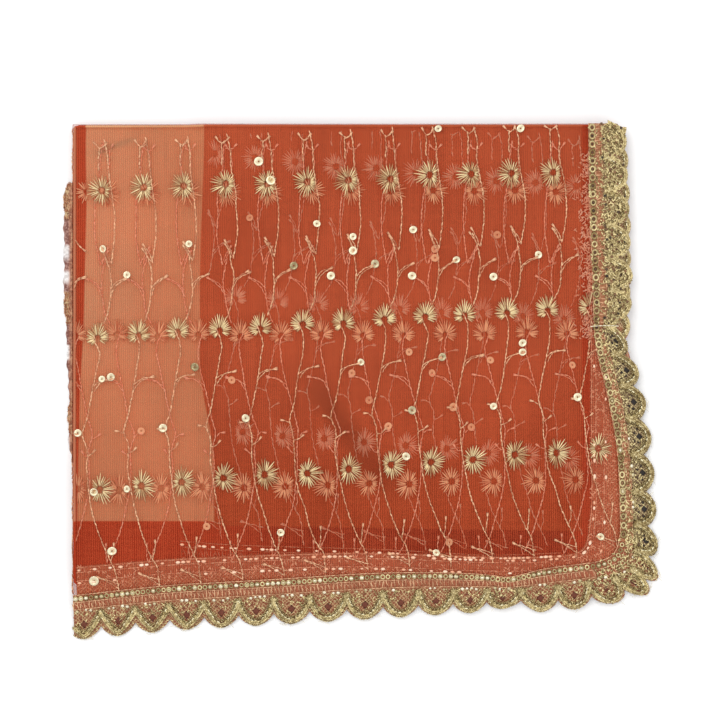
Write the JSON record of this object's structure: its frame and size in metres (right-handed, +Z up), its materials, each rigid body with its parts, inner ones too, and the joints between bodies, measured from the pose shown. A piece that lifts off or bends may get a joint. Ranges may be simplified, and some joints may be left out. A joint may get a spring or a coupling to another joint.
{
  "type": "folded embroidered stole",
  "caption": "Long sheer net stole folded into a flat rectangular packet, with allover embroidery and a scalloped metallic lace border along two edges.",
  "frame": {"origin": "centre of the folded packet's footprint, on the table that it lies on", "axes": "+X towards the short end's lace, along the stole's length; +Y towards the long fold across its width; +Z up off the table"},
  "size_m": [0.388, 0.3356, 0.0125],
  "materials": {
    "net": "sheer soft net with a slight sheen",
    "hidden_net": "stacked sheer net",
    "gold_lace": "metallic thread on net"
  },
  "bodies": {
    "root": {"hidden_layers": "hidden_net", "second_ply": "net", "top_ply": "net", "end_lace": "gold_lace", "side_lace": "gold_lace", "second_end_lace": "gold_lace", "second_side_lace": "gold_lace", "far_end_lace": "gold_lace"}
  },
  "joints": []
}
